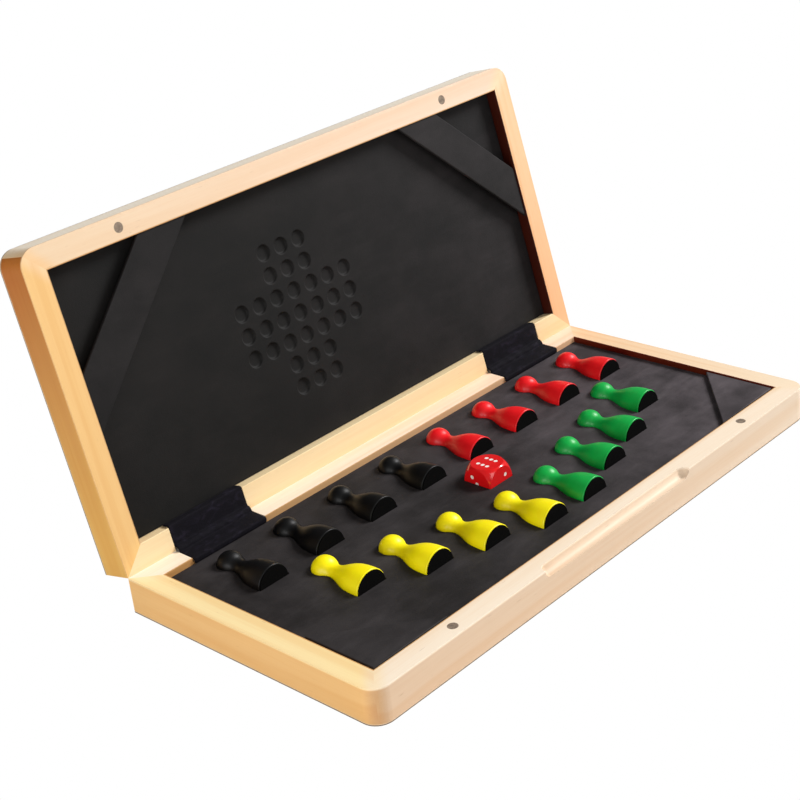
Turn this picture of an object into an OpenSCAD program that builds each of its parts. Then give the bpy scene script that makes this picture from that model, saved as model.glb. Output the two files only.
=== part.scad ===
// Folding ludo board box: two shallow wooden half frames hinged along the back.
// The lower half holds a foam tray with sixteen pawns and a die, half sunk in pockets.
// The origin is the middle of the lower half's bottom face, +Z up, the opening side at -Y.
// Every piece of the upper half is drawn as if it lay flat behind the lower one,
// then turned up about the fold line to its opening angle.

/* [Half frame] */
// Length of the box along the fold
box_l = 307; // [280:1:340]
// Depth of one half, from the opening side to the fold
half_w = 146; // [138:1:170]
// Height of one half
half_h = 17; // [16:0.5:24]
// Width of the wooden rails
rail_t = 11; // [9:0.5:14]
// Radius of the two corners on the opening side
corner_r = 8; // [4:0.5:10]
// Angle between the two rims as the box stands open
open_angle = 103.2; // [0:0.1:180]
// Gap between the rims when the box is closed
rim_gap = 0.04; // [0.02:0.02:0.4]

/* [Thumb scoop] */
// Length of the finger groove along the lower front edge
scoop_l = 104; // [60:1:130]
// Radius of the finger groove
scoop_r = 4.2; // [3:0.1:5]

/* [Panels] */
// Thickness of the playing surface sheet under each half
sheet_t = 0.8; // [0.5:0.1:1.2]
// Thickness of the plywood panel behind the sheet
panel_t = 3; // [2:0.1:4]
// How far the panel reaches into the rails
panel_lap = 4; // [2:0.5:6]

/* [Foam] */
// Depth of the tray's surface under the lower rim
tray_drop = 2.9; // [2:0.1:4]
// Depth of the foam board's surface under the upper rim
lid_drop = 5.8; // [5.6:0.1:7]
// Play between the foam and the rails
foam_play = 0.2; // [0.1:0.05:0.5]
// Play around each piece in its pocket
pocket_play = 0.3; // [0.2:0.05:0.5]

/* [Corner pads and bands] */
// Leg of the triangular pads along the front
pad_leg_x = 43; // [30:1:50]
// Leg of the triangular pads along the sides
pad_leg_y = 38; // [30:1:50]
// How far the pads lie under the rim
pad_drop = 0.5; // [0.3:0.1:1.5]
// Gaps between the left and right pad and the side rail beside it
pad_side_gap = [1.6, 0.3]; // [0.2:0.1:2]
// Gap between the pads and the front rail
pad_front_gap = 1.6; // [0.2:0.1:2]
// Outer leg of the corner bands along the opening side
band_leg_x = 45.5; // [35:0.5:55]
// Outer leg of the corner bands along the sides
band_leg_y = 42.5; // [35:0.5:55]
// How much farther both legs of the left band reach
band_left_more = [2.5, 4.5]; // [0:0.5:6]
// Width of the corner bands, square to their edges
band_w = 19; // [12:0.5:24]
// Thickness of the corner bands
band_t = 1.8; // [1:0.1:2.5]
// How far the bands lie under the rim
band_drop = 0.6; // [0.4:0.1:1.5]

/* [Magnets] */
// Distance of the magnets from the middle of the box
magnet_x = 103.3; // [70:0.1:115]
// Radius of the magnets
magnet_r = 2.3; // [1.5:0.1:3]
// Thickness of the magnets
magnet_t = 3; // [2:0.5:5]
// Radial play of the magnets in their holes
magnet_play = 0.05; // [0.03:0.01:0.1]

/* [Hinges] */
// Distance of each hinge's middle from the middle of the box
hinge_x = 105.4; // [70:0.1:115]
// Length of the notch that takes a hinge and its cover
notch_l = 43; // [36:1:50]
// Depth of the notch in each rim
notch_d = 2; // [1.9:0.1:3]
// Play between a leaf's end and its notch
leaf_play = 1; // [0.5:0.1:2]
// Thickness of the leaves
leaf_t = 1; // [0.8:0.1:1.1]
// Width of the leaves, from the fold
leaf_w = 9; // [8:0.5:10]
// Outer radius of the knuckles
knuckle_r = 1.9; // [1.7:0.1:1.9]
// Gap between neighbouring knuckles
knuckle_gap = 0.3; // [0.2:0.05:0.5]
// Radius of the hinge pins
pin_r = 1; // [0.8:0.05:1.2]
// Radial play of the pins in the knuckles
pin_play = 0.05; // [0.02:0.01:0.08]
// Room around the knuckles in the wood
knuckle_room = 0.4; // [0.3:0.1:0.8]
// Screws in each leaf
screws_per_leaf = 3; // [2:1:4]
// Shank radius of the screws
screw_r = 0.9; // [0.7:0.1:1.2]
// Head radius of the screws
screw_head_r = 1.7; // [1.4:0.1:2]
// Length of the screws
screw_l = 8; // [6:0.5:10]

/* [Pawns] */
// Radius of a pawn's foot
foot_r = 8.5; // [7:0.1:8.8]
// Radius of a pawn's neck
neck_r = 3.9; // [2.4:0.1:4.5]
// Radius of a pawn's head
head_r = 6.1; // [5:0.1:6.6]
// Distance of the neck from the foot
neck_at = 20.7; // [18:0.1:22]
// Distance of the head's middle from the foot
head_at = 27.4; // [26:0.1:29]
// How full the skirt between foot and neck is
skirt_power = 1.7; // [1.2:0.05:2]
// Bevel at the foot's edge
foot_edge = 0.3; // [0.2:0.1:0.8]
// Thickness of the felt disc under the foot
felt_t = 0.6; // [0.4:0.1:1]
// Step from the foot's bevel in to the felt
felt_inset = 0.1; // [0.1:0.1:0.6]
// Depth of a lying pawn's axis under the top of the tray
pawn_sink = 0.5; // [0.2:0.1:1]
// Middle of the pockets, from the middle of the half
pockets_mid = 0.9; // [-2:0.1:2]
// Outermost pawns of the row along the fold, from the side rails
row_side = 24.3; // [22:0.1:30]
// Feet of that row, from the hinge rail
row_back = 41.4; // [38:0.1:44]
// Outermost pawns of the two wings, from the side rails
wing_side = 44.3; // [40:0.1:50]
// Feet of each wing from its inner end outwards, from the front rail
wing_front = [13.8, 23.4, 31.5, 44.6]; // [12:0.1:46]

/* [Die] */
// Edge length of the die
die_a = 16; // [12:0.5:16]
// Sphere that rounds the die's corners, as a share of its edge
die_round = 0.69; // [0.64:0.01:0.75]
// Place of the die, from the middle of the pockets
die_pos = [0.1, 2.8]; // [-4:0.1:4]
// Radius of the pips
pip_r = 1; // [0.7:0.05:1.3]
// Depth of the pips
pip_d = 0.5; // [0.3:0.05:0.8]
// Distance of the outer pips from the middle of a face
pip_off = [2.7, 3]; // [2.2:0.1:4]

/* [Hidden] */
// Inner outline of a half
in_x = box_l / 2 - rail_t;
in_y = half_w / 2 - rail_t;

// Each pawn's name, place of its foot and colour: the row from the left, then the wings
yellow = [0.98, 0.86, 0.02];
green = [0.03, 0.62, 0.24];
red = [0.88, 0.04, 0.05];
black = [0.03, 0.03, 0.03];
row_pitch = (in_x - row_side) / 3.5;
row_y = in_y - row_back;
wing_pitch = (in_x - wing_side) / 3.5;
wing_y = [for (d = wing_front) d - in_y];
PAWNS = concat(
    [for (i = [0:3]) [str("black_", i + 1), [(i - 3.5) * row_pitch, row_y], black]],
    [for (i = [0:3]) [str("red_", i + 1), [(i + 0.5) * row_pitch, row_y], red]],
    [for (i = [0:3]) [str("yellow_", i + 1), [(i - 3.5) * wing_pitch, wing_y[3 - i]], yellow]],
    [for (i = [0:3]) [str("green_", i + 1), [(i + 0.5) * wing_pitch, wing_y[i]], green]]);
$fn = 64;
eps = 0.01;

wood = [0.93, 0.80, 0.58];
foam = [0.19, 0.18, 0.19];
cloth = [0.10, 0.09, 0.12];
steel = [0.35, 0.34, 0.33];

// Heights in a half
back_y = half_w / 2;
tray_z = half_h - tray_drop;
board_z = half_h - lid_drop;
floor_z = sheet_t + panel_t;

// The fold line, half the rim gap outside both half frames
axis_y = back_y + rim_gap / 2;
axis_z = half_h + rim_gap / 2;

// Hinge parts along the fold
leaf_l = notch_l - 2 * leaf_play;
knuckle_l = (leaf_l - 2 * knuckle_gap) / 3;
leaf_z = half_h - notch_d;
cover_t = notch_d - leaf_t;
clear_y = axis_y - knuckle_r - knuckle_gap;
screw_y = back_y - (leaf_w + knuckle_r) / 2;
screw_pitch = leaf_l / screws_per_leaf;

// Turns the upper half from lying flat behind the lower one to its opening angle
module lid_place() {
    translate([0, axis_y, axis_z])
        rotate([180 - open_angle, 0, 0])
            translate([0, -axis_y, -axis_z])
                translate([0, 2 * axis_y, 0])
                    mirror([0, 1, 0])
                        children();
}

// Mirrors a piece to both ends of the box
module both_ends() {
    children();
    mirror([1, 0, 0]) children();
}

// Outline of a half: round corners on the opening side, square ones at the fold
module half_outline() {
    difference() {
        square([box_l, half_w], center = true);
        for (s = [-1, 1])
            translate([s * (box_l / 2 - corner_r), corner_r - half_w / 2])
                difference() {
                    translate([s > 0 ? 0 : -2 * corner_r, -2 * corner_r])
                        square(2 * corner_r);
                    circle(corner_r);
                }
    }
}

// Frame of a half with the rebate that takes the panel
module half_frame() {
    difference() {
        translate([0, 0, sheet_t])
            linear_extrude(half_h - sheet_t)
                difference() {
                    half_outline();
                    square([2 * in_x, 2 * in_y], center = true);
                }
        panel_block(panel_lap);
    }
}

// Block of the panel's thickness, reaching a given way past the inner outline
module panel_block(lap) {
    translate([-in_x - lap, -in_y - lap, sheet_t])
        cube([2 * (in_x + lap), 2 * (in_y + lap), panel_t]);
}

// Wedges that part the frame at its mitres
module long_wedge(s) {
    far = half_w;
    linear_extrude(half_h + eps)
        polygon([[-in_x, s * in_y], [in_x, s * in_y],
                 [in_x + far, s * (in_y + far)], [-in_x - far, s * (in_y + far)]]);
}
module short_wedge(s) {
    far = half_w;
    linear_extrude(half_h + eps)
        polygon([[s * in_x, -in_y], [s * in_x, in_y],
                 [s * (in_x + far), in_y + far], [s * (in_x + far), -in_y - far]]);
}

module front_rail() {
    difference() {
        intersection() {
            half_frame();
            long_wedge(-1);
        }
        magnet_holes();
    }
}

module hinge_rail() {
    difference() {
        intersection() {
            half_frame();
            long_wedge(1);
        }
        both_ends() hinge_notch();
    }
}

module side_rail(s) {
    intersection() {
        half_frame();
        short_wedge(s);
    }
}

// Notch for one hinge: flat seat, room for the knuckles and pilot holes
module hinge_notch() {
    translate([hinge_x - notch_l / 2, in_y - eps, leaf_z])
        cube([notch_l, rail_t + 1, notch_d + 1]);
    translate([hinge_x - notch_l / 2, axis_y, axis_z])
        rotate([0, 90, 0])
            cylinder(r = knuckle_r + knuckle_room, h = notch_l);
    at_screws()
        translate([0, 0, -screw_l])
            cylinder(r = screw_r, h = screw_l);
}

// Places a child at each screw of one leaf, at the leaf's top face
module at_screws() {
    for (i = [0:screws_per_leaf - 1])
        translate([hinge_x + (i - (screws_per_leaf - 1) / 2) * screw_pitch, screw_y, leaf_z + leaf_t])
            children();
}

module magnet_holes() {
    both_ends()
        translate([magnet_x, rail_t / 2 - half_w / 2, half_h - magnet_t])
            cylinder(r = magnet_r + magnet_play, h = magnet_t + 1);
}

module magnets() {
    both_ends()
        translate([magnet_x, rail_t / 2 - half_w / 2, half_h - magnet_t])
            cylinder(r = magnet_r, h = magnet_t - magnet_play);
}

// Finger groove along the lower front edge, with ball ends
module thumb_scoop() {
    run = scoop_l / 2 - scoop_r;
    translate([0, -half_w / 2, half_h]) {
        translate([-run, 0, 0])
            rotate([0, 90, 0])
                cylinder(r = scoop_r, h = 2 * run);
        for (s = [-1, 1])
            translate([s * run, 0, 0])
                sphere(scoop_r);
    }
}

// One leaf at the right end: plate, knuckles and countersunk screw holes.
// Outer knuckles belong to the lower leaf, the middle one to the upper leaf.
module leaf(outer) {
    start = hinge_x - leaf_l / 2;
    step = knuckle_l + knuckle_gap;
    mine = outer ? [0, 2] : [1];
    difference() {
        union() {
            translate([start, back_y - leaf_w, leaf_z])
                cube([leaf_l, clear_y - back_y + leaf_w, leaf_t]);
            for (i = mine) {
                translate([start + i * step, clear_y - 1, leaf_z])
                    cube([knuckle_l, axis_y - clear_y + 1, leaf_t]);
                translate([start + i * step, axis_y, axis_z])
                    rotate([0, 90, 0])
                        cylinder(r = knuckle_r, h = knuckle_l);
            }
        }
        translate([start - 1, axis_y, axis_z])
            rotate([0, 90, 0])
                cylinder(r = pin_r + pin_play, h = leaf_l + 2);
        at_screws() screw_shape();
    }
}

// Countersunk screw hanging from its head's top face
module screw_shape() {
    head_h = leaf_t * 0.8;
    rotate_extrude()
        polygon([[0, -screw_l], [screw_r, -screw_l], [screw_r, -head_h],
                 [screw_head_r, 0], [0, 0]]);
}

module screws() {
    both_ends() at_screws() screw_shape();
}

// Cloth cover of one hinge: flush in the notch and down the rail to the foam
module hinge_cover(drop) {
    start = hinge_x - notch_l / 2 + magnet_play;
    len = notch_l - 2 * magnet_play;
    low = half_h - drop + foam_play;
    translate([start, in_y - cover_t, half_h - cover_t])
        cube([len, clear_y - in_y + cover_t, cover_t]);
    translate([start, in_y - cover_t, low])
        cube([len, cover_t, half_h - low]);
}

module panel() {
    panel_block(panel_lap - foam_play);
}

module sheet() {
    linear_extrude(sheet_t)
        half_outline();
}

// Foam block between the panel and a given height
module foam_block(top) {
    translate([foam_play - in_x, foam_play - in_y, floor_z])
        cube([2 * (in_x - foam_play), 2 * (in_y - foam_play), top - floor_z]);
}

// Fillet between neck and head, tangent to both
fillet_r = ((head_at - neck_at) ^ 2 + neck_r ^ 2 - head_r ^ 2) / (2 * (head_r - neck_r));
fillet_end = atan2(head_at - neck_at, neck_r + fillet_r);

// Half outline of a pawn, grown by g, as [radius, distance from the foot]
function pawn_outline(g) = concat(
    [[0, -g], [foot_r - foot_edge + g, -g], [foot_r + g, foot_edge - g]],
    [for (i = [1:10]) let (s = i / 11)
        [neck_r + g + (foot_r - neck_r) * (1 + cos(180 * s ^ skirt_power)) / 2, neck_at * s]],
    [for (i = [0:6]) let (a = fillet_end * i / 6)
        [neck_r + fillet_r - (fillet_r - g) * cos(a), neck_at + (fillet_r - g) * sin(a)]],
    [for (i = [1:9]) let (a = 90 - fillet_end + (90 + fillet_end) * i / 10)
        [(head_r + g) * sin(a), head_at - (head_r + g) * cos(a)]],
    [[0, head_at + head_r + g]]);

// Lays a child along +Y with its foot's felt at a place on the tray
module lie_down(pos) {
    translate([pockets_mid + pos[0], pos[1] + felt_t, tray_z - pawn_sink])
        rotate([-90, 0, 0])
            children();
}

module pawn_solid(g) {
    rotate_extrude()
        polygon(pawn_outline(g));
}

module felt_disc(g) {
    translate([0, 0, -felt_t - g])
        cylinder(r = foot_r - foot_edge - felt_inset + g, h = felt_t + g);
}

// Cube with its corners rounded by a sphere, standing half sunk in the tray
module die_body(g) {
    translate([pockets_mid + die_pos[0], die_pos[1], tray_z])
        intersection() {
            cube(die_a + 2 * g, center = true);
            sphere(die_a * die_round + g);
        }
}

// Pips of one face as places on that face
function pips(n) =
    let (u = pip_off[0], v = pip_off[1])
    n == 1 ? [[0, 0]] :
    n == 2 ? [[-v, -u], [v, u]] :
    n == 3 ? [[-v, -u], [0, 0], [v, u]] :
    n == 4 ? [[-v, -u], [v, -u], [-v, u], [v, u]] :
    n == 5 ? [[-v, -u], [v, -u], [-v, u], [v, u], [0, 0]] :
    [for (a = [-v, v], b = [-u, 0, u]) [a, b]];

// Places a child at each pip of the die, pointing out of its face
module at_pips() {
    faces = [[6, [0, 0, 0]], [1, [180, 0, 0]], [2, [90, 0, 0]],
             [5, [-90, 0, 0]], [3, [0, -90, 0]], [4, [0, 90, 0]]];
    translate([pockets_mid + die_pos[0], die_pos[1], tray_z])
        for (f = faces)
            rotate(f[1])
                for (p = pips(f[0]))
                    translate([p[0], p[1], die_a / 2])
                        children();
}

module base_front_rail() {
    color(wood)
        difference() {
            front_rail();
            thumb_scoop();
        }
}
module base_hinge_rail() { color(wood) hinge_rail(); }
module base_left_rail() { color(wood) side_rail(-1); }
module base_right_rail() { color(wood) side_rail(1); }
module base_panel() { color(wood) panel(); }
module base_sheet() { color(wood) sheet(); }

module base_foam_tray() {
    color(foam)
        difference() {
            foam_block(tray_z);
            for (p = PAWNS)
                lie_down(p[1]) {
                    pawn_solid(pocket_play);
                    felt_disc(pocket_play);
                }
            die_body(pocket_play);
        }
}

module base_corner_pads() {
    y = in_y - pad_front_gap;
    color(foam)
        translate([0, 0, tray_z])
            linear_extrude(tray_drop - pad_drop)
                for (side = [-1, 1]) {
                    x = in_x - pad_side_gap[side > 0 ? 1 : 0];
                    polygon([[side * x, -y], [side * x, pad_leg_y - y],
                             [side * (x - pad_leg_x), -y]]);
                }
}

module base_magnets() { color(steel) magnets(); }
module base_hinge_leaves() { color(steel) both_ends() leaf(true); }

module hinge_pins() {
    color(steel)
        both_ends()
            translate([hinge_x - leaf_l / 2, axis_y, axis_z])
                rotate([0, 90, 0])
                    cylinder(r = pin_r, h = leaf_l);
}

module base_hinge_screws() { color(steel) screws(); }
module base_hinge_covers() { color(cloth) both_ends() hinge_cover(tray_drop); }

module lid_front_rail() { color(wood) lid_place() front_rail(); }
module lid_hinge_rail() { color(wood) lid_place() hinge_rail(); }
module lid_left_rail() { color(wood) lid_place() side_rail(-1); }
module lid_right_rail() { color(wood) lid_place() side_rail(1); }
module lid_panel() { color(wood) lid_place() panel(); }
module lid_sheet() { color(wood) lid_place() sheet(); }
module lid_foam_board() { color(foam) lid_place() foam_block(board_z); }

// Flat bands across the two corners of the opening side, near the rim
module lid_corner_bands() {
    color(foam)
        lid_place()
            for (side = [-1, 1]) {
                leg_x = band_leg_x + (side < 0 ? band_left_more.x : 0);
                leg_y = band_leg_y + (side < 0 ? band_left_more.y : 0);
                slope = atan2(leg_y, leg_x);
                more_x = band_w / sin(slope);
                more_y = band_w / cos(slope);
                translate([side * in_x, -in_y, half_h - band_drop - band_t])
                    linear_extrude(band_t)
                        polygon([[-side * leg_x, 0], [0, leg_y],
                                 [0, leg_y + more_y], [-side * (leg_x + more_x), 0]]);
            }
}

module lid_magnets() { color(steel) lid_place() magnets(); }
module lid_hinge_leaves() { color(steel) lid_place() both_ends() leaf(false); }
module lid_hinge_screws() { color(steel) lid_place() screws(); }
module lid_hinge_covers() { color(cloth) lid_place() both_ends() hinge_cover(lid_drop); }

module die() {
    color(red)
        difference() {
            die_body(0);
            at_pips() cylinder(r = pip_r, h = 2 * pip_d, center = true);
        }
}

module die_pips() {
    color("white")
        at_pips()
            translate([0, 0, -pip_d])
                cylinder(r = pip_r, h = pip_d - pip_r * 0.1);
}

module pawn(p) { color(p[2]) lie_down(p[1]) pawn_solid(0); }
module felt(p) { color(black) lie_down(p[1]) felt_disc(0); }

base_front_rail();
base_hinge_rail();
base_left_rail();
base_right_rail();
base_panel();
base_sheet();
base_foam_tray();
base_corner_pads();
base_magnets();
base_hinge_leaves();
hinge_pins();
base_hinge_screws();
base_hinge_covers();
lid_front_rail();
lid_hinge_rail();
lid_left_rail();
lid_right_rail();
lid_panel();
lid_sheet();
lid_foam_board();
lid_corner_bands();
lid_magnets();
lid_hinge_leaves();
lid_hinge_screws();
lid_hinge_covers();
die();
die_pips();
for (p = PAWNS) {
    pawn(p);
    felt(p);
}
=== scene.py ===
import math

import bmesh
import bpy
from mathutils import Matrix, Vector


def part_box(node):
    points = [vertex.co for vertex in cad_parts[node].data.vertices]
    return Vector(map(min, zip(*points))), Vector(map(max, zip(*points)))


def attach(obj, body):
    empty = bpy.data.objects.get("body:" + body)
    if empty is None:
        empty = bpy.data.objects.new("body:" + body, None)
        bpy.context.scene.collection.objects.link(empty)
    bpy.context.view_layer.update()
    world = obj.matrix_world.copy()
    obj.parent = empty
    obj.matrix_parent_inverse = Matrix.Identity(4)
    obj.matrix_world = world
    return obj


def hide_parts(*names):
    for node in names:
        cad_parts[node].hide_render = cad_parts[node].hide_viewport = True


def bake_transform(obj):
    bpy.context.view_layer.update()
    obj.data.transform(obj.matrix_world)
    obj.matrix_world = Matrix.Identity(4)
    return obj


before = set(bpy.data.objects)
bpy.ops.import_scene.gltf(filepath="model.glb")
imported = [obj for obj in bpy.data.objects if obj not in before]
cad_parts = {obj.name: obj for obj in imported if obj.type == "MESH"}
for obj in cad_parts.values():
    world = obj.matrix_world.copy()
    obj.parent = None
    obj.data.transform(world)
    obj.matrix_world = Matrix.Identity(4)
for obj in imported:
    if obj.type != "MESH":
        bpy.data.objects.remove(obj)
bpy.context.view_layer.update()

# ---------------------------------------------------------------- places and sizes, in metres
MM = 0.001
BOX_L, HALF_W, HALF_H, RAIL = 307 * MM, 146 * MM, 17 * MM, 11 * MM
IN_X, IN_Y = BOX_L / 2 - RAIL, HALF_W / 2 - RAIL
FOLD = Vector((0, 73.02 * MM, 17.02 * MM))
OPEN = math.radians(103.2)
TRAY_Z, BOARD_Z = 14.1 * MM, 11.2 * MM
PAWN_SINK = 0.5 * MM
FELT_R, FELT_T = 8.1 * MM, 0.6 * MM
CELL = 19.2 * MM                            # one square of the playing field
MOTIF_X, MOTIF_Y, MOTIF_STEP = -18 * MM, 2 * MM, 11 * MM
HINGE_X, NOTCH_L = 105.4 * MM, 43 * MM

# A point of the upper half drawn lying over the lower one goes to its open place
LID = (
    Matrix.Translation(FOLD)
    @ Matrix.Rotation(math.pi - OPEN, 4, "X")
    @ Matrix.Diagonal((1, -1, 1, 1))
    @ Matrix.Translation(-FOLD)
)


def srgb(r, g, b, a=1.0):
    """A colour given as 0 to 255 screen values."""
    def linear(c):
        c /= 255
        return c / 12.92 if c <= 0.04045 else ((c + 0.055) / 1.055) ** 2.4
    return (linear(r), linear(g), linear(b), a)


# ---------------------------------------------------------------- node helpers
class Nodes:
    """Adds nodes to a material's or a group's tree and links them."""

    def __init__(self, tree):
        self.tree = tree

    def add(self, kind, **values):
        n = self.tree.nodes.new(kind)
        for k, v in values.items():
            setattr(n, k, v)
        return n

    def put(self, value, socket):
        if isinstance(value, bpy.types.NodeSocket):
            self.tree.links.new(value, socket)
        else:
            socket.default_value = value

    def math(self, operation, a, b=None, c=None, clamp=False):
        n = self.add("ShaderNodeMath", operation=operation, use_clamp=clamp)
        for i, v in enumerate((a, b, c)):
            if v is not None:
                self.put(v, n.inputs[i])
        return n.outputs[0]

    def mix(self, factor, a, b, blend="MIX"):
        n = self.add("ShaderNodeMix", data_type="RGBA", blend_type=blend)
        self.put(factor, n.inputs["Factor"])
        self.put(a, n.inputs["A"])
        self.put(b, n.inputs["B"])
        return n.outputs["Result"]

    def noise(self, vector, scale, detail=3.0, rough=0.5, distortion=0.0):
        n = self.add("ShaderNodeTexNoise")
        self.put(vector, n.inputs["Vector"])
        self.put(scale, n.inputs["Scale"])
        n.inputs["Detail"].default_value = detail
        n.inputs["Roughness"].default_value = rough
        n.inputs["Distortion"].default_value = distortion
        return n.outputs["Fac"]

    def ramp(self, value, low, high, smooth=True):
        n = self.add("ShaderNodeMapRange", interpolation_type="SMOOTHSTEP" if smooth else "LINEAR")
        self.put(value, n.inputs["Value"])
        n.inputs["From Min"].default_value = low
        n.inputs["From Max"].default_value = high
        return n.outputs["Result"]

    def mapped(self, vector, scale=(1, 1, 1), turn=(0, 0, 0), shift=(0, 0, 0)):
        n = self.add("ShaderNodeMapping", vector_type="POINT")
        self.put(vector, n.inputs["Vector"])
        n.inputs["Scale"].default_value = scale
        n.inputs["Rotation"].default_value = turn
        n.inputs["Location"].default_value = shift
        return n.outputs["Vector"]

    def bump(self, height, strength, distance):
        n = self.add("ShaderNodeBump")
        self.put(height, n.inputs["Height"])
        n.inputs["Strength"].default_value = strength
        n.inputs["Distance"].default_value = distance
        return n.outputs["Normal"]

    def group(self, tree, **values):
        n = self.add("ShaderNodeGroup")
        n.node_tree = tree
        for k, v in values.items():
            self.put(v, n.inputs[k.replace("_", " ")])
        return n.outputs


def new_group(name, inputs, outputs):
    """An empty shader group with its sockets, and its helper."""
    tree = bpy.data.node_groups.new(name, "ShaderNodeTree")
    kinds = {"f": "NodeSocketFloat", "c": "NodeSocketColor", "v": "NodeSocketVector"}
    for label, kind, value in inputs:
        s = tree.interface.new_socket(name=label, in_out="INPUT", socket_type=kinds[kind])
        if value is not None:
            s.default_value = value
    for label, kind in outputs:
        tree.interface.new_socket(name=label, in_out="OUTPUT", socket_type=kinds[kind])
    k = Nodes(tree)
    return k, k.add("NodeGroupInput").outputs, k.add("NodeGroupOutput").inputs


def new_material(name):
    """A material with one Principled shader: (material, helper, shader's inputs, object coordinates)."""
    m = bpy.data.materials.new(name)
    m.use_nodes = True
    k = Nodes(m.node_tree)
    shader = m.node_tree.nodes["Principled BSDF"].inputs
    place = k.add("ShaderNodeTexCoord").outputs["Object"]
    return m, k, shader, place


# ---------------------------------------------------------------- shared effects
def make_pine_grain():
    """Straight pine grain along X: broad faint rings, fine fibres, a few short dark pores."""
    k, i, o = new_group(
        "pine_grain",
        [("Place", "v", None), ("Pale", "c", (0.8, 0.6, 0.4, 1)), ("Warm", "c", (0.6, 0.4, 0.2, 1)),
         ("Ring Strength", "f", 0.5)],
        [("Color", "c"), ("Height", "f"), ("Roughness", "f")],
    )
    drift = k.noise(k.mapped(i["Place"], (5, 40, 40)), 1.0, 2.0)
    rings = k.noise(k.mapped(i["Place"], (4, 150, 120)), 1.0, 2.0, 0.45, 0.5)
    lines = k.ramp(rings, 0.42, 0.68)
    fibres = k.noise(k.mapped(i["Place"], (40, 1900, 1900)), 1.0, 3.0, 0.6)
    pores = k.ramp(k.noise(k.mapped(i["Place"], (140, 1500, 1500), shift=(3, 1, 2)), 1.0, 1.0), 0.74, 0.82)
    tone = k.math("MULTIPLY", k.math("ADD", k.math("MULTIPLY", lines, 0.65), k.math("MULTIPLY", drift, 0.35)),
                  i["Ring Strength"])
    colour = k.mix(tone, i["Pale"], i["Warm"])
    colour = k.mix(k.math("MULTIPLY", k.ramp(fibres, 0.4, 0.8), 0.16), colour, i["Warm"])
    colour = k.mix(k.math("MULTIPLY", pores, 0.25), colour, srgb(140, 92, 50))
    k.put(colour, o["Color"])
    k.put(k.math("ADD", k.math("MULTIPLY", fibres, 0.7), k.math("MULTIPLY", rings, 0.3)), o["Height"])
    k.put(k.math("ADD", k.math("MULTIPLY", fibres, 0.14), 0.42), o["Roughness"])
    return k.tree


def make_home_place():
    """A point of the open upper half, brought back over the lower half."""
    k, i, o = new_group("home_place", [("Place", "v", None)], [("Home", "v")])
    back = LID.inverted()
    k.put(k.mapped(i["Place"], (1, -1, 1), (math.pi - OPEN, 0, 0), back.translation), o["Home"])
    return k.tree


def make_rail_zones():
    """Where a point of a rail lies: rim, inner wall, or else outside; and how near it is to a mitre. The rails'
    tones, painted light and shade among them, are set by these zones.
    """
    k, i, o = new_group("rail_zones", [("Home", "v", None)], [("Rim", "f"), ("Inside", "f"), ("Mitre", "f")])
    split = k.add("ShaderNodeSeparateXYZ")
    k.put(i["Home"], split.inputs[0])
    x, y, z = (split.outputs[n] for n in "XYZ")
    far_x, far_y = k.math("ABSOLUTE", x), k.math("ABSOLUTE", y)
    k.put(k.ramp(z, HALF_H - 1.3 * MM, HALF_H - 0.2 * MM), o["Rim"])
    side = k.math("LESS_THAN", far_x, IN_X + 0.45 * MM)
    end = k.math("LESS_THAN", far_y, IN_Y + 0.45 * MM)
    k.put(k.math("MULTIPLY", side, end), o["Inside"])
    gap = k.math("SUBTRACT", k.math("SUBTRACT", far_x, IN_X), k.math("SUBTRACT", far_y, IN_Y))
    k.put(k.ramp(k.math("ABSOLUTE", gap), 9 * MM, 0.0), o["Mitre"])
    return k.tree


def make_foam_cells():
    """Fine closed foam cells, with broad scuffed patches where it has been brushed."""
    k, i, o = new_group(
        "foam_cells",
        [("Place", "v", None), ("Dark", "c", (0.02, 0.02, 0.02, 1)), ("Pale", "c", (0.06, 0.06, 0.06, 1))],
        [("Color", "c"), ("Height", "f"), ("Roughness", "f")],
    )
    cells = k.noise(i["Place"], 2600.0, 2.0, 0.6)
    pores = k.noise(i["Place"], 900.0, 2.0, 0.5)
    patches = k.noise(i["Place"], 34.0, 4.0, 0.62)
    scuffs = k.noise(k.mapped(i["Place"], (26, 90, 90), turn=(0, 0, 0.6)), 1.0, 4.0, 0.65)
    tone = k.math("ADD", k.math("MULTIPLY", k.ramp(patches, 0.30, 0.72), 0.55),
                  k.math("MULTIPLY", k.ramp(scuffs, 0.42, 0.75), 0.35))
    tone = k.math("ADD", tone, k.math("MULTIPLY", k.ramp(cells, 0.3, 0.75), 0.16), clamp=True)
    k.put(k.mix(tone, i["Dark"], i["Pale"]), o["Color"])
    k.put(k.math("ADD", k.math("MULTIPLY", cells, 0.6), k.math("MULTIPLY", pores, 0.4)), o["Height"])
    k.put(k.math("ADD", k.math("MULTIPLY", patches, 0.12), 0.62), o["Roughness"])
    return k.tree


PINE = make_pine_grain()
HOME = make_home_place()
ZONES = make_rail_zones()
FOAM = make_foam_cells()


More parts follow.
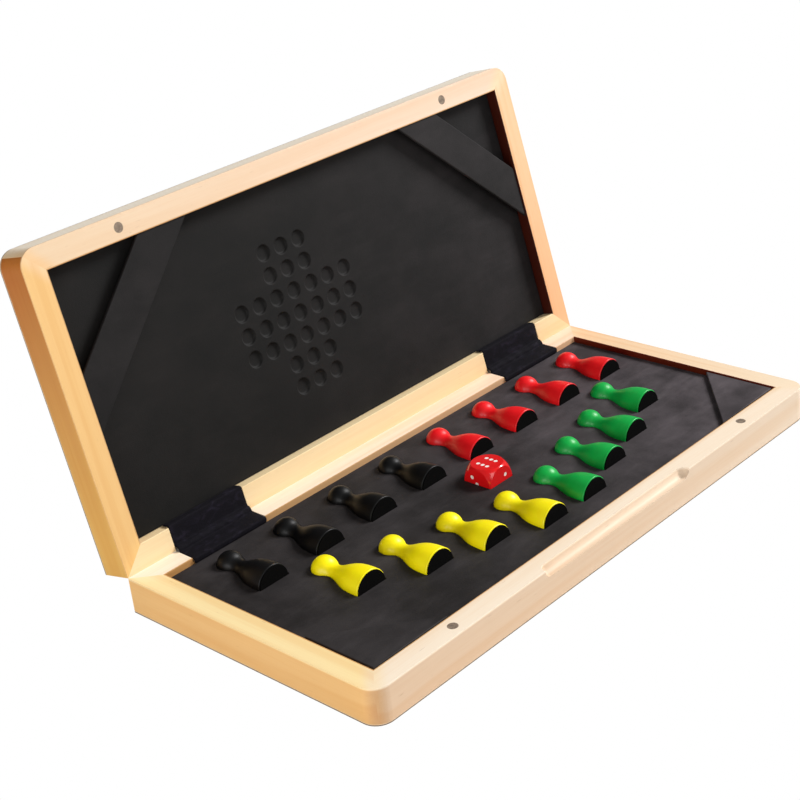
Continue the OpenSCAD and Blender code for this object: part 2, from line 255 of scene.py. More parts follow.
# ---------------------------------------------------------------- finishes
def pine(name, rim, outside, inside, mitres=None, corner=None, rings=0.5, lengthwise=True, upper=False,
         shift=(0, 0, 0)):
    """Lacquered pine, its grain along the rail. The rim, the outside and the inner wall differ in tone, and each
    tone runs from its first colour to its second along the rail; mitres are the tones at the rail's two ends,
    and corner is the outside's tone where it turns the left corner. The tones are partly the wood's own and
    partly painted light and shade: darker inner walls and a darker corner are painted shade, and the ramps
    along the rail stand for light that grows or fades along it."""
    m, k, shader, place = new_material(name)
    if upper:
        place = k.group(HOME, Place=place)["Home"]
    zones = k.group(ZONES, Home=place)
    split = k.add("ShaderNodeSeparateXYZ")
    k.put(place, split.inputs[0])
    along, reach = (split.outputs["X"], IN_X) if lengthwise else (split.outputs["Y"], IN_Y)
    # The ramp along the rail carries painted light and shade as well as the wood's own change of tone.
    painted_light_ramp = k.ramp(along, -reach, reach, smooth=False)
    tones = [k.mix(painted_light_ramp, *(c if isinstance(c, list) else (c, c))) for c in (rim, outside, inside)]
    if mitres:
        tones[0] = k.mix(zones["Mitre"], tones[0], k.mix(k.math("GREATER_THAN", along, 0.0), *mitres))
    # Painted shade: where a corner tone is given, the outside darkens towards the left corner.
    if corner:
        near = k.math("MULTIPLY", zones["Mitre"], k.math("LESS_THAN", along, 0.0))
        tones[1] = k.mix(near, tones[1], corner)
    turned = k.mapped(place, turn=(0, 0, 0 if lengthwise else math.pi / 2), shift=shift)
    # Rim, outside and inner wall each get their own tone; where an inner wall is darker, that is painted shade.
    pale = k.mix(zones["Inside"], k.mix(zones["Rim"], tones[1], tones[0]), tones[2])
    warm = k.mix(1.0, pale, srgb(238, 208, 168), "MULTIPLY")
    grain = k.group(PINE, Place=turned, Pale=pale, Warm=warm, Ring_Strength=rings)
    k.put(grain["Color"], shader["Base Color"])
    k.put(grain["Roughness"], shader["Roughness"])
    k.put(k.bump(grain["Height"], 0.2, 0.0001), shader["Normal"])
    shader["Specular IOR Level"].default_value = 0.3
    return m


def foam(name, dark, pale):
    """Black foam; each of its two tones runs from its first colour at the left to its second at the right. This
    ramp is painted light: the foam grows paler towards the right, where more light falls.
    """
    m, k, shader, place = new_material(name)
    split = k.add("ShaderNodeSeparateXYZ")
    k.put(place, split.inputs[0])
    # Painted light: the foam is paler towards the right.
    painted_light_ramp = k.ramp(split.outputs["X"], -0.35 * IN_X, 1.15 * IN_X)
    cells = k.group(FOAM, Place=place, Dark=k.mix(painted_light_ramp, *dark), Pale=k.mix(painted_light_ramp, *pale))
    k.put(cells["Color"], shader["Base Color"])
    k.put(cells["Roughness"], shader["Roughness"])
    k.put(k.bump(cells["Height"], 0.35, 0.00025), shader["Normal"])
    shader["Specular IOR Level"].default_value = 0.2
    return m


def lacquer(name, colour, deep, rough=0.34, shine=0.45):
    """Turned wood under a smooth coloured lacquer, a little uneven."""
    m, k, shader, place = new_material(name)
    waves = k.noise(place, 260.0, 2.0)
    k.put(k.mix(k.math("MULTIPLY", k.ramp(waves, 0.35, 0.75), 0.3), colour, deep), shader["Base Color"])
    k.put(k.math("ADD", k.math("MULTIPLY", waves, 0.08), rough), shader["Roughness"])
    k.put(k.bump(waves, 0.12, 0.0002), shader["Normal"])
    shader["Specular IOR Level"].default_value = shine
    return m


def felt_cloth(name, dark, pale):
    """Dense felt with a fine fuzz."""
    m, k, shader, place = new_material(name)
    fuzz = k.noise(place, 3000.0, 3.0, 0.7)
    k.put(k.mix(k.ramp(fuzz, 0.3, 0.8), dark, pale), shader["Base Color"])
    shader["Roughness"].default_value = 0.95
    k.put(k.bump(fuzz, 0.5, 0.0002), shader["Normal"])
    shader["Specular IOR Level"].default_value = 0.06
    return m


def cover_cloth(name):
    """Thin black hinge cloth with a short nap, rubbed paler in places."""
    m, k, shader, place = new_material(name)
    nap = k.noise(place, 2200.0, 3.0, 0.65)
    rubbed = k.noise(k.mapped(place, (150, 260, 260)), 1.0, 4.0, 0.62, 0.6)
    tone = k.math("ADD", k.math("MULTIPLY", k.ramp(rubbed, 0.48, 0.80), 0.75),
                  k.math("MULTIPLY", k.ramp(nap, 0.35, 0.75), 0.25))
    k.put(k.mix(tone, srgb(8, 6, 12), srgb(34, 30, 42)), shader["Base Color"])
    shader["Roughness"].default_value = 0.85
    height = k.math("ADD", k.math("MULTIPLY", rubbed, 1.0), k.math("MULTIPLY", nap, 0.12))
    k.put(k.bump(height, 0.35, 0.0008), shader["Normal"])
    shader["Specular IOR Level"].default_value = 0.12
    return m


def metal(name, colour, rough, metallic=1.0):
    """Brushed metal, stained darker in patches."""
    m, k, shader, place = new_material(name)
    scratches = k.noise(k.mapped(place, (300, 3000, 3000)), 1.0, 2.0)
    stains = k.noise(place, 900.0, 3.0)
    k.put(k.mix(k.ramp(stains, 0.35, 0.7), colour, tuple(c * 0.55 for c in colour[:3]) + (1,)),
          shader["Base Color"])
    k.put(k.math("ADD", k.math("MULTIPLY", scratches, 0.25), rough), shader["Roughness"])
    shader["Metallic"].default_value = metallic
    return m


def die_plastic(name, colour, rough):
    """Glossy moulded plastic, slightly hazy."""
    m, k, shader, place = new_material(name)
    haze = k.noise(place, 500.0, 2.0)
    k.put(k.mix(k.math("MULTIPLY", haze, 0.25), colour, tuple(c * 0.7 for c in colour[:3]) + (1,)),
          shader["Base Color"])
    k.put(k.math("ADD", k.math("MULTIPLY", haze, 0.08), rough), shader["Roughness"])
    shader["Coat Weight"].default_value = 0.3
    shader["Coat Roughness"].default_value = 0.08
    return m


def make_ludo_field():
    """Half of a traditional ludo field, fifteen squares each way about the fold: U runs along the fold and
    V away from it, in squares. Hand is -1 where the first square of the arm lies to the left, or else 1."""
    white, ink = srgb(250, 246, 236), srgb(58, 50, 44)
    k, i, o = new_group(
        "ludo_field",
        [("Home", "v", None), ("Hand", "f", 1.0), ("Wood", "c", (1, 1, 1, 1)), ("Left", "c", (1, 1, 1, 1)),
         ("Right", "c", (1, 1, 1, 1)), ("Arm", "c", (1, 1, 1, 1)), ("Row Left", "c", (1, 1, 1, 1)),
         ("Row Right", "c", (1, 1, 1, 1))],
        [("Color", "c"), ("Print", "f")],
    )
    split = k.add("ShaderNodeSeparateXYZ")
    k.put(i["Home"], split.inputs[0])
    u = k.math("DIVIDE", split.outputs["X"], CELL)
    v = k.math("DIVIDE", k.math("SUBTRACT", FOLD.y, split.outputs["Y"]), CELL)
    wide = k.math("ABSOLUTE", u)
    right = k.math("GREATER_THAN", u, 0.0)
    both = lambda a, b: k.math("MULTIPLY", a, b)
    block = lambda a, a_mid, a_half, b, b_mid, b_half: both(
        k.math("COMPARE", a, a_mid, a_half), k.math("COMPARE", b, b_mid, b_half))
    side = k.mix(right, i["Left"], i["Right"])
    row = k.mix(right, i["Row Left"], i["Row Right"])
    colour = k.mix(block(wide, 4.5, 3.0, v, 4.5, 3.0), white, side)
    colour = k.mix(block(wide, 4.5, 2.0, v, 4.5, 2.0), colour, white)
    out_u = k.math("SUBTRACT", k.math("ABSOLUTE", k.math("SUBTRACT", wide, 4.5)), 1.0)
    out_v = k.math("SUBTRACT", k.math("ABSOLUTE", k.math("SUBTRACT", v, 4.5)), 1.0)
    away = k.math("SQRT", k.math("ADD", both(out_u, out_u), both(out_v, out_v)))
    colour = k.mix(k.math("LESS_THAN", away, 0.6), colour, side)
    colour = k.mix(block(u, 0.0, 0.5, v, 4.0, 2.5), colour, i["Arm"])
    colour = k.mix(block(wide, 4.0, 2.5, v, 0.0, 0.5), colour, row)
    colour = k.mix(block(u, i["Hand"], 0.5, v, 6.0, 0.5), colour, i["Arm"])
    colour = k.mix(block(u, k.math("MULTIPLY", i["Hand"], -6.0), 0.5, v, 1.0, 0.5), colour, row)
    middle = block(u, 0.0, 1.5, v, 0.0, 1.5)
    colour = k.mix(middle, colour, k.mix(k.math("GREATER_THAN", v, wide), row, i["Arm"]))
    edge = lambda a: k.math("LESS_THAN", k.math("PINGPONG", k.math("ADD", a, 0.5), 0.5), 0.028)
    arms = k.math("MAXIMUM", k.math("LESS_THAN", wide, 1.528), k.math("LESS_THAN", v, 1.528))
    lines = both(k.math("MAXIMUM", edge(u), edge(v)), arms)
    inner = both(k.math("LESS_THAN", wide, 1.47), k.math("LESS_THAN", v, 1.47))
    lines = k.mix(inner, lines, k.math("COMPARE", v, wide, 0.035))
    ring = k.math("COMPARE", away, 0.6, 0.028)
    frame_line = k.math("COMPARE", k.math("MAXIMUM", wide, v), 7.5, 0.035)
    lines = k.math("MAXIMUM", k.math("MAXIMUM", lines, ring), frame_line)
    colour = k.mix(lines, colour, ink)
    field = k.math("LESS_THAN", k.math("MAXIMUM", wide, v), 7.53)
    k.put(k.mix(field, i["Wood"], colour), o["Color"])
    k.put(field, o["Print"])
    return k.tree


FIELD = make_ludo_field()


def board_face(name, hand, left, right, arm, row_left, row_right, upper=False):
    """Pale birch sheet with a printed playing field under a worn varnish, and a dark edge all round."""
    m, k, shader, place = new_material(name)
    if upper:
        place = k.group(HOME, Place=place)["Home"]
    split = k.add("ShaderNodeSeparateXYZ")
    k.put(place, split.inputs[0])
    grain = k.group(PINE, Place=place, Pale=srgb(236, 212, 170), Warm=srgb(214, 180, 132), Ring_Strength=0.7)
    field = k.group(FIELD, Home=place, Hand=hand, Wood=grain["Color"], Left=left, Right=right, Arm=arm,
                    Row_Left=row_left, Row_Right=row_right)
    rub = k.noise(place, 120.0, 5.0, 0.65)
    worn = k.mix(k.math("MULTIPLY", k.ramp(rub, 0.55, 0.9), 0.35), field["Color"], grain["Color"])
    height = split.outputs["Z"]
    edge = k.mix(k.math("GREATER_THAN", height, 0.5 * MM), srgb(104, 88, 74), srgb(226, 196, 160))
    k.put(k.mix(k.math("GREATER_THAN", height, 0.04 * MM), worn, edge), shader["Base Color"])
    k.put(k.math("ADD", k.math("MULTIPLY", rub, 0.2), 0.32), shader["Roughness"])
    k.put(k.bump(grain["Height"], 0.15, 0.0001), shader["Normal"])
    return m


# Painted shade: the dark red-brown inner walls of the right rails, in the lower and the upper half, stand for
# the shade in which they lie.
PAINTED_SHADE_WALL_BASE = srgb(98, 28, 4)
PAINTED_SHADE_WALL_LID = srgb(62, 16, 2)
# Rim tones at the mitres, shared across each corner: partly the wood's own and partly painted light.
MITRE_TONES_PART_PAINTED = {
    "base": (srgb(248, 228, 194), srgb(244, 224, 196)),
    "lid": (srgb(236, 202, 158), srgb(242, 216, 182)),
}
# Painted shade: the darker tone of an outer face where it turns round the left corner.
PAINTED_SHADE_CORNER = srgb(206, 164, 118)
# Each rail's rim, outside and inner-wall tones, and their ramps along it, are partly painted light and shade.
WOODS = {
    "base_front_rail": pine("pine_base_front", [srgb(248, 233, 212), srgb(245, 228, 206)],
                            [srgb(222, 193, 163), srgb(230, 210, 187)], srgb(206, 166, 118), MITRE_TONES_PART_PAINTED["base"],
                            PAINTED_SHADE_CORNER, 0.4),
    "base_hinge_rail": pine("pine_base_hinge", [srgb(250, 238, 218), srgb(250, 219, 195)], srgb(232, 204, 160),
                            [srgb(196, 150, 94), srgb(226, 188, 150)], shift=(1.3, 0.2, 0)),
    "base_left_rail": pine("pine_base_left", srgb(252, 229, 174), srgb(238, 192, 128), srgb(214, 168, 110),
                           (MITRE_TONES_PART_PAINTED["base"][0], srgb(250, 230, 184)), PAINTED_SHADE_CORNER, lengthwise=False, shift=(2, 0, 0)),
    "base_right_rail": pine("pine_base_right", [srgb(242, 222, 194), srgb(246, 210, 170)], srgb(232, 204, 160),
                            PAINTED_SHADE_WALL_BASE, (MITRE_TONES_PART_PAINTED["base"][1], srgb(248, 216, 180)), lengthwise=False,
                            shift=(3, 0.4, 0)),
    "lid_front_rail": pine("pine_lid_front", [srgb(232, 210, 182), srgb(241, 212, 190)], srgb(255, 246, 230),
                           srgb(206, 160, 108), MITRE_TONES_PART_PAINTED["lid"], srgb(236, 206, 164), 0.4, upper=True,
                           shift=(4, 0, 0)),
    "lid_hinge_rail": pine("pine_lid_hinge", srgb(243, 218, 174), srgb(232, 204, 160), srgb(246, 224, 180),
                           upper=True, shift=(5, 0.3, 0)),
    # Painted shade: the upper half's left outer face darkens towards its far end, which stands highest when
    # open, away from the light the floor throws back.
    "lid_left_rail": pine("pine_lid_left", srgb(232, 190, 128), [srgb(178, 106, 36), srgb(228, 180, 98)],
                          srgb(206, 160, 108), (MITRE_TONES_PART_PAINTED["lid"][0], srgb(238, 196, 130)), lengthwise=False,
                          upper=True, shift=(6, 0, 0)),
    "lid_right_rail": pine("pine_lid_right", [srgb(240, 203, 162), srgb(240, 184, 137)], srgb(232, 204, 160),
                           PAINTED_SHADE_WALL_LID, (MITRE_TONES_PART_PAINTED["lid"][1], srgb(240, 186, 140)), lengthwise=False, upper=True,
                           shift=(7, 0.1, 0)),
}
PLY_TONE = srgb(232, 205, 160)
PLY = pine("birch_ply", PLY_TONE, PLY_TONE, PLY_TONE, rings=0.6, shift=(8, 0, 0))
YELLOW, GREEN, RED, BLACK = srgb(246, 204, 20), srgb(24, 132, 62), srgb(206, 30, 34), srgb(36, 34, 34)
BASE_FACE = board_face("board_base", -1.0, YELLOW, GREEN, YELLOW, BLACK, GREEN)
LID_FACE = board_face("board_lid", 1.0, BLACK, RED, RED, BLACK, GREEN, upper=True)
# Each foam's tones grow paler from left to right as painted light.
TRAY_FOAM = foam("tray_foam", (srgb(24, 21, 21), srgb(46, 41, 43)), (srgb(58, 54, 55), srgb(98, 90, 94)))
BOARD_FOAM = foam("lid_foam", (srgb(11, 10, 9), srgb(17, 15, 15)), (srgb(25, 22, 21), srgb(42, 38, 39)))
BAND_FOAM = foam("band_foam", (srgb(16, 14, 14), srgb(22, 20, 20)), (srgb(34, 31, 31), srgb(48, 44, 45)))
LACQUERS = {
    "yellow": lacquer("yellow_lacquer", srgb(255, 238, 0), srgb(255, 224, 0)),
    "green": lacquer("green_lacquer", srgb(6, 172, 70), srgb(2, 146, 54)),
    "red": lacquer("red_lacquer", srgb(240, 20, 28), srgb(222, 6, 18)),
    "black": lacquer("black_lacquer", srgb(5, 5, 6), srgb(2, 2, 3), 0.4, 0.28),
}
FELT = felt_cloth("foot_felt", srgb(3, 3, 3), srgb(13, 12, 12))
CLOTH = cover_cloth("hinge_cloth")
HINGE_STEEL = metal("hinge_steel", srgb(190, 186, 178), 0.30)
MAGNET = metal("magnet_steel", srgb(150, 132, 114), 0.42, 0.25)
DIE_RED = die_plastic("die_red", srgb(228, 18, 22), 0.16)
PIP_WHITE = die_plastic("pip_white", srgb(252, 240, 234), 0.25)


# ---------------------------------------------------------------- making pieces
WELD = 1e-6
FOAM_SHARP = 35


def finish_piece(bm, name, material, body, node, place, sharp):
    """Turns a bmesh into a smooth piece on its body, in a node's stead. place is applied to its points, and
    edges over sharp degrees stay sharp."""
    bmesh.ops.remove_doubles(bm, verts=bm.verts, dist=WELD)
    bmesh.ops.transform(bm, matrix=place, verts=bm.verts)
    bmesh.ops.recalc_face_normals(bm, faces=bm.faces)
    mesh = bpy.data.meshes.new(name)
    bm.to_mesh(mesh)
    bm.free()
    mesh.shade_smooth()
    mesh.set_sharp_from_angle(angle=math.radians(sharp))
    piece = bpy.data.objects.new(name, mesh)
    bpy.context.scene.collection.objects.link(piece)
    mesh.materials.append(material)
    even = piece.modifiers.new("even_faces", "WEIGHTED_NORMAL")
    even.keep_sharp = True
    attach(piece, body)
    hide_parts(node)
    return piece


def dress(node, material):
    """Gives a CAD node a finish."""
    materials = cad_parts[node].data.materials
    materials.clear()
    materials.append(material)


def copy_of(node, home):
    """A merged copy of a CAD node with flat faces made whole again, brought back over the lower half."""
    bm = bmesh.new()
    bm.from_mesh(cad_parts[node].data)
    bmesh.ops.transform(bm, matrix=home, verts=bm.verts)
    bmesh.ops.remove_doubles(bm, verts=bm.verts, dist=2e-6)
    bmesh.ops.dissolve_limit(bm, angle_limit=math.radians(0.6), verts=bm.verts, edges=bm.edges,
                             use_dissolve_boundaries=False)
    return bm


def round_edges(bm, chosen, radius, segments):
    """Rounds the sharp edges for which chosen(middle, direction) is true."""
    edges = []
    for e in bm.edges:
        if len(e.link_faces) == 2 and e.calc_face_angle(0) > math.radians(24):
            middle = (e.verts[0].co + e.verts[1].co) / 2
            if chosen(middle, (e.verts[1].co - e.verts[0].co).normalized()):
                edges.append(e)
    bmesh.ops.bevel(bm, geom=edges, offset=radius, offset_type="OFFSET", segments=segments, profile=0.5,
                    affect="EDGES", material=-1, clamp_overlap=True)


def home_of(node):
    """What brings a node back over the lower half: nothing, or the upper half's turn undone."""
    return LID.inverted() if node.startswith("lid_") else Matrix.Identity(4)


def make_rail(node):
    """A pine rail with its outer rim well rounded and its other edges just broken."""
    bm = copy_of(node, home_of(node))
    outer = lambda c: max(abs(c.x) - BOX_L / 2, -c.y - HALF_W / 2) > -0.3 * MM
    rim = lambda c: c.z > HALF_H - 0.1 * MM
    notch = lambda c: c.y > IN_Y - 0.1 * MM and abs(abs(c.x) - HINGE_X) < NOTCH_L / 2 + 1 * MM
    mitre = lambda c, d: abs(abs(d.x) - abs(d.y)) < 0.02 and abs(d.z) < 0.02
    round_edges(bm, lambda c, d: rim(c) and outer(c) and not mitre(c, d), 1.0 * MM, 3)
    fold = lambda c: c.y > HALF_W / 2 - 0.3 * MM
    round_edges(bm, lambda c, d: not fold(c) and not notch(c) and c.z > 2 * MM
                and c.z > HALF_H - 5 * MM and not mitre(c, d) and abs(d.z) < 0.9, 0.3 * MM, 2)
    finish_piece(bm, node + "_wood", WOODS[node], node.split("_")[0], node,
                 home_of(node).inverted(), 30)


def make_pawn(name, foot, colour):
    """A turned pawn lying on its side, its head toward the fold."""
    foot_r, neck_r, head_r, neck_at, head_at, edge = 8.5, 3.9, 6.1, 20.7, 27.4, 0.4
    fillet = ((head_at - neck_at) ** 2 + neck_r ** 2 - head_r ** 2) / (2 * (head_r - neck_r))
    end = math.atan2(head_at - neck_at, neck_r + fillet)
    line = [(0, 0)]
    line += [(foot_r - edge + edge * math.sin(a), edge - edge * math.cos(a)) for a in (0, 0.4, 0.8, 1.2, 1.5)]
    line += [(neck_r + (foot_r - neck_r) * (1 + math.cos(math.pi * (i / 30) ** 1.7)) / 2, neck_at * i / 30)
             for i in range(1, 30)]
    line += [(neck_r + fillet - fillet * math.cos(end * i / 8), neck_at + fillet * math.sin(end * i / 8))
             for i in range(8)]
    line += [(head_r * math.sin(a), head_at - head_r * math.cos(a))
             for a in (math.pi / 2 - end + (math.pi / 2 + end) * i / 16 for i in range(16))]
    line += [(0, head_at + head_r)]
    bm = bmesh.new()
    verts = [bm.verts.new((r * MM, y * MM, 0)) for r, y in line]
    edges = [bm.edges.new(pair) for pair in zip(verts, verts[1:])]
    bmesh.ops.spin(bm, geom=verts + edges, cent=(0, 0, 0), axis=(0, 1, 0), dvec=(0, 0, 0),
                   angle=2 * math.pi, steps=56, use_merge=True, use_duplicate=False)
    place = Matrix.Translation((foot[0], foot[1] + FELT_T, TRAY_Z - PAWN_SINK))
    finish_piece(bm, name + "_lacquered", LACQUERS[colour], name, name, place, 50)


def make_felt(name, foot):
    """The felt disc under a pawn's foot, its edge worn round."""
    bm = bmesh.new()
    bmesh.ops.create_cone(bm, cap_ends=True, cap_tris=False, segments=56, radius1=FELT_R, radius2=FELT_R,
                          depth=FELT_T)
    rings = [e for e in bm.edges if abs(e.verts[0].co.z - e.verts[1].co.z) < WELD]
    bmesh.ops.bevel(bm, geom=rings, offset=0.25 * MM, offset_type="OFFSET", segments=2, profile=0.5,
                    affect="EDGES", material=-1)
    place = Matrix.Translation((foot[0], foot[1] + FELT_T / 2, TRAY_Z - PAWN_SINK))
    place = place @ Matrix.Rotation(math.pi / 2, 4, "X")
    node = name.replace("pawn_", "felt_")
    finish_piece(bm, node + "_disc", FELT, name, node, place, 40)


def make_foam_block(node, material, radius, chosen, hollows=()):
    """A foam piece with soft edges, cut from its CAD shape, with round hollows pressed into its face."""
    bm = copy_of(node, home_of(node))
    round_edges(bm, chosen, radius, 2)
    piece = finish_piece(bm, node + "_soft", material, node.split("_")[0], node,
                         home_of(node).inverted(), FOAM_SHARP)
    if hollows:
        press_hollows(piece, hollows, home_of(node).inverted())


def press_hollows(piece, middles, place):
    """Presses round hollows with soft rims into the upper half's foam."""
    line = [(0, -1.1), (2.7, -1.1), (3.3, -0.98), (3.65, -0.7), (3.8, -0.35), (3.95, -0.14), (4.2, -0.03),
            (4.5, 0.02), (4.5, 0.5), (0, 0.5)]
    bm = bmesh.new()
    for x, y in middles:
        verts = [bm.verts.new((x + rad * MM, y, BOARD_Z + z * MM)) for rad, z in line]
        edges = [bm.edges.new(pair) for pair in zip(verts, verts[1:])]
        bmesh.ops.spin(bm, geom=verts + edges, cent=(x, y, 0), axis=(0, 0, 1), dvec=(0, 0, 0),
                       angle=2 * math.pi, steps=28, use_merge=True, use_duplicate=False)
    bmesh.ops.remove_doubles(bm, verts=bm.verts, dist=WELD)
    bmesh.ops.transform(bm, matrix=place, verts=bm.verts)
    bmesh.ops.recalc_face_normals(bm, faces=bm.faces)
    mesh = bpy.data.meshes.new("hollows")
    bm.to_mesh(mesh)
    bm.free()
    cutter = bpy.data.objects.new("hollows", mesh)
    bpy.context.scene.collection.objects.link(cutter)
    cut = piece.modifiers.new("hollows", "BOOLEAN")
    cut.operation, cut.solver, cut.object = "DIFFERENCE", "EXACT", cutter
    bpy.context.view_layer.objects.active = piece
    with bpy.context.temp_override(object=piece):
        bpy.ops.object.modifier_apply(modifier="hollows")
    bpy.data.objects.remove(cutter)
    piece.data.shade_smooth()
    piece.data.set_sharp_from_angle(angle=math.radians(FOAM_SHARP))


def cover_path():
    """The cloth's outer face, square to the fold: up the lower rail, over the knuckles, down the upper one."""
    lower = [(IN_Y - 1.0 * MM, TRAY_Z + 0.15 * MM), (IN_Y - 1.0 * MM, 15.3 * MM), (IN_Y - 0.98 * MM, 16.3 * MM),
             (IN_Y - 0.75 * MM, 16.8 * MM), (IN_Y - 0.3 * MM, 17.0 * MM), (64.5 * MM, 17.0 * MM),
             (66.5 * MM, 17.0 * MM), (68.2 * MM, 17.0 * MM), (69.5 * MM, 17.02 * MM)]
    r = 2.45 * MM
    bend = [(FOLD.y + r * math.cos(a), FOLD.z + r * math.sin(a))
            for a in (math.pi - OPEN * i / 8 for i in range(9))]
    upper = [(y, BOARD_Z + 0.15 * MM if i == 0 else z) for i, (y, z) in enumerate(lower)]
    upper = [(p.y, p.z) for p in (LID @ Vector((0, y, z)) for y, z in reversed(upper))]
    return lower + bend + upper


def make_hinge_cover(side):
    """Black cloth glued over one hinge, bent round its knuckles, a little creased at the fold."""
    path = cover_path()
    across = 26
    bm = bmesh.new()
    start = [bm.verts.new((side * HINGE_X - NOTCH_L / 2 + 0.1 * MM, y, z)) for y, z in path]
    new = [bm.edges.new(pair) for pair in zip(start, start[1:])]
    for _ in range(across):
        out = bmesh.ops.extrude_edge_only(bm, edges=new)["geom"]
        verts = [v for v in out if isinstance(v, bmesh.types.BMVert)]
        new = [e for e in out if isinstance(e, bmesh.types.BMEdge)
               and e.verts[0] in verts and e.verts[1] in verts]
        bmesh.ops.translate(bm, vec=((NOTCH_L - 0.2 * MM) / across, 0, 0), verts=verts)
    bmesh.ops.recalc_face_normals(bm, faces=bm.faces)
    bm.normal_update()
    facing = sum((f.normal.z - f.normal.y) * f.calc_area() for f in bm.faces)
    if facing < 0:
        bmesh.ops.reverse_faces(bm, faces=bm.faces)
    bm.normal_update()
    for v in bm.verts:
        x = v.co.x - side * HINGE_X
        off_y, off_z = v.co.y - FOLD.y + 2 * MM, v.co.z - FOLD.z - 1.5 * MM
        near = math.exp(-(off_y ** 2 + off_z ** 2) / (5 * MM) ** 2)
        edge = min(1, (NOTCH_L / 2 - abs(x)) / (4 * MM))
        wave = (math.sin(x * 900 + v.co.z * 700) * 0.5 + math.sin(x * 410 - v.co.y * 1300 + side) * 0.5)
        v.co += v.normal * (wave * 0.22 * MM * near * edge)
    mesh = bpy.data.meshes.new("cover")
    bm.to_mesh(mesh)
    bm.free()
    mesh.shade_smooth()
    name = "hinge_cloth_left" if side < 0 else "hinge_cloth_right"
    piece = bpy.data.objects.new(name, mesh)
    bpy.context.scene.collection.objects.link(piece)
    mesh.materials.append(CLOTH)
    thick = piece.modifiers.new("thickness", "SOLIDIFY")
    thick.thickness = 0.7 * MM
    thick.offset = -1
    soft = piece.modifiers.new("soft", "SUBSURF")
    soft.levels = soft.render_levels = 1
    bpy.context.view_layer.objects.active = piece
    for m in ("thickness", "soft"):
        with bpy.context.temp_override(object=piece):
            bpy.ops.object.modifier_apply(modifier=m)
    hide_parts("base_hinge_covers", "lid_hinge_covers")
    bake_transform(piece)


# ---------------------------------------------------------------- the object
for node in WOODS:
    make_rail(node)
for half in ("base", "lid"):
    dress(half + "_panel", PLY)
    dress(half + "_magnets", MAGNET)
    dress(half + "_hinge_leaves", HINGE_STEEL)
    dress(half + "_hinge_screws", HINGE_STEEL)
dress("hinge_pins", HINGE_STEEL)
dress("die", DIE_RED)
dress("die_pips", PIP_WHITE)
dress("base_sheet", BASE_FACE)
dress("lid_sheet", LID_FACE)

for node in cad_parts:
    if node.startswith("pawn_"):
        low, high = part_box(node)
        foot = ((low.x + high.x) / 2, low.y - FELT_T)
        make_pawn(node, foot, node.split("_")[1])
        make_felt(node, foot)

make_foam_block("base_foam_tray", TRAY_FOAM, 0.35 * MM, lambda c, d: c.z > TRAY_Z - 0.05 * MM)
make_foam_block("base_corner_pads", TRAY_FOAM, 0.5 * MM, lambda c, d: c.z > HALF_H - 1.5 * MM)
CROSS = [(MOTIF_X + MOTIF_STEP * i, MOTIF_Y + MOTIF_STEP * j) for i in range(-3, 4) for j in range(-3, 4)
         if abs(i) <= 1 or abs(j) <= 1]
make_foam_block("lid_foam_board", BOARD_FOAM, 0.4 * MM, lambda c, d: c.z > BOARD_Z - 0.05 * MM, CROSS)
make_foam_block("lid_corner_bands", BAND_FOAM, 0.5 * MM, lambda c, d: abs(d.z) < 0.5)
for side in (-1, 1):
    make_hinge_cover(side)


# ---------------------------------------------------------------- room, lamps and camera
def show_white(tree, lit, white, output):
    """Sends white to the camera and through glass, and lit to every other ray."""
    k = Nodes(tree)
    for socket, value in (("Color", (1, 1, 1, 1)), ("Strength", 1.0)):
        white.inputs[socket].default_value = value
    path = k.add("ShaderNodeLightPath")
    mix = k.add("ShaderNodeMixShader")
    k.put(k.math("MAXIMUM", path.outputs["Is Camera Ray"], path.outputs["Is Transmission Ray"]), mix.inputs[0])
    tree.links.new(lit.outputs[0], mix.inputs[1])
    tree.links.new(white.outputs[0], mix.inputs[2])
    tree.links.new(mix.outputs[0], output.inputs["Surface"])


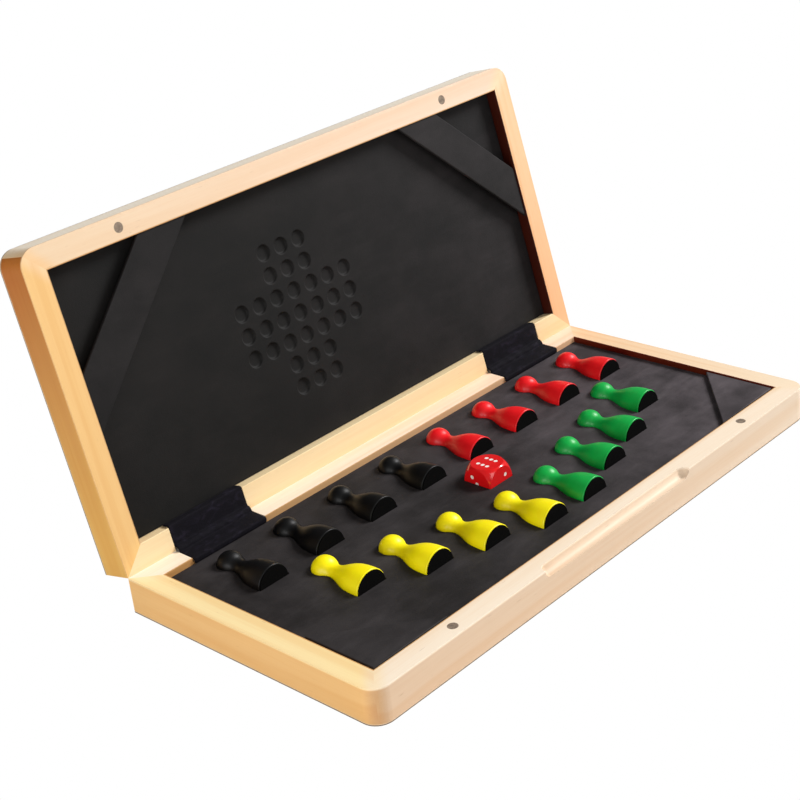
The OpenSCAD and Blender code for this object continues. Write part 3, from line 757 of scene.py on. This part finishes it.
def make_room():
    """A pale floor and a soft sky. The camera sees both as plain white, without the box's shadow."""
    bpy.ops.mesh.primitive_plane_add(size=8, location=(0, 0, -0.2 * MM))
    floor = bpy.context.object
    floor.name = "floor"
    m, k, shader, _ = new_material("floor_paper")
    nodes = m.node_tree.nodes
    shader["Base Color"].default_value = (0.7, 0.7, 0.7, 1)
    shader["Roughness"].default_value = 0.9
    show_white(m.node_tree, nodes["Principled BSDF"], k.add("ShaderNodeEmission"), nodes["Material Output"])
    floor.data.materials.append(m)

    world = bpy.data.worlds.new("studio")
    bpy.context.scene.world = world
    world.use_nodes = True
    nodes = world.node_tree.nodes
    nodes["Background"].inputs["Color"].default_value = (1, 1, 1, 1)
    nodes["Background"].inputs["Strength"].default_value = 0.17
    plain = nodes.new("ShaderNodeBackground")
    show_white(world.node_tree, nodes["Background"], plain, nodes["World Output"])


def softbox(name, place, aim, size, watts):
    """A rectangular lamp at a place, turned toward another."""
    lamp = bpy.data.lights.new(name, "AREA")
    lamp.shape = "RECTANGLE"
    lamp.size, lamp.size_y = size
    lamp.energy = watts
    o = bpy.data.objects.new(name, lamp)
    bpy.context.scene.collection.objects.link(o)
    o.location = place
    o.rotation_euler = (Vector(aim) - Vector(place)).to_track_quat("-Z", "Y").to_euler()


make_room()
softbox("softbox_key", (2.7, -1.0, 2.16), (0, 0, 0.05), (1.2, 1.2), 165.0)
softbox("softbox_front", (-0.62, -1.96, 1.24), (0, 0, 0.05), (1.2, 1.2), 13.0)
softbox("softbox_left", (-1.3, -0.45, 0.34), (0, 0, 0.03), (0.5, 0.3), 5.0)
softbox("softbox_low", (-0.9, 0.02, 0.05), (-0.15, 0.02, 0.03), (0.4, 0.08), 1.8)


def make_camera():
    """The photograph's view: a 75 mm lens from the front left, a little above."""
    data = bpy.data.cameras.new("camera")
    data.sensor_width = 36
    data.lens = 74.8
    data.shift_x, data.shift_y = -0.047, -0.05
    data.clip_start, data.clip_end = 0.01, 20
    cam = bpy.data.objects.new("camera", data)
    bpy.context.scene.collection.objects.link(cam)
    right = Vector((0.664346, -0.741195, -0.096304))
    down = Vector((-0.364039, -0.208346, -0.907782))
    ahead = Vector((0.652778, 0.63814, -0.408238))
    turn = Matrix((right, -down, -ahead)).transposed().to_4x4()
    cam.matrix_world = Matrix.Translation((-0.4938, -0.45639, 0.3774)) @ turn
    bpy.context.scene.camera = cam
    bpy.context.scene.view_settings.view_transform = "Standard"


make_camera()
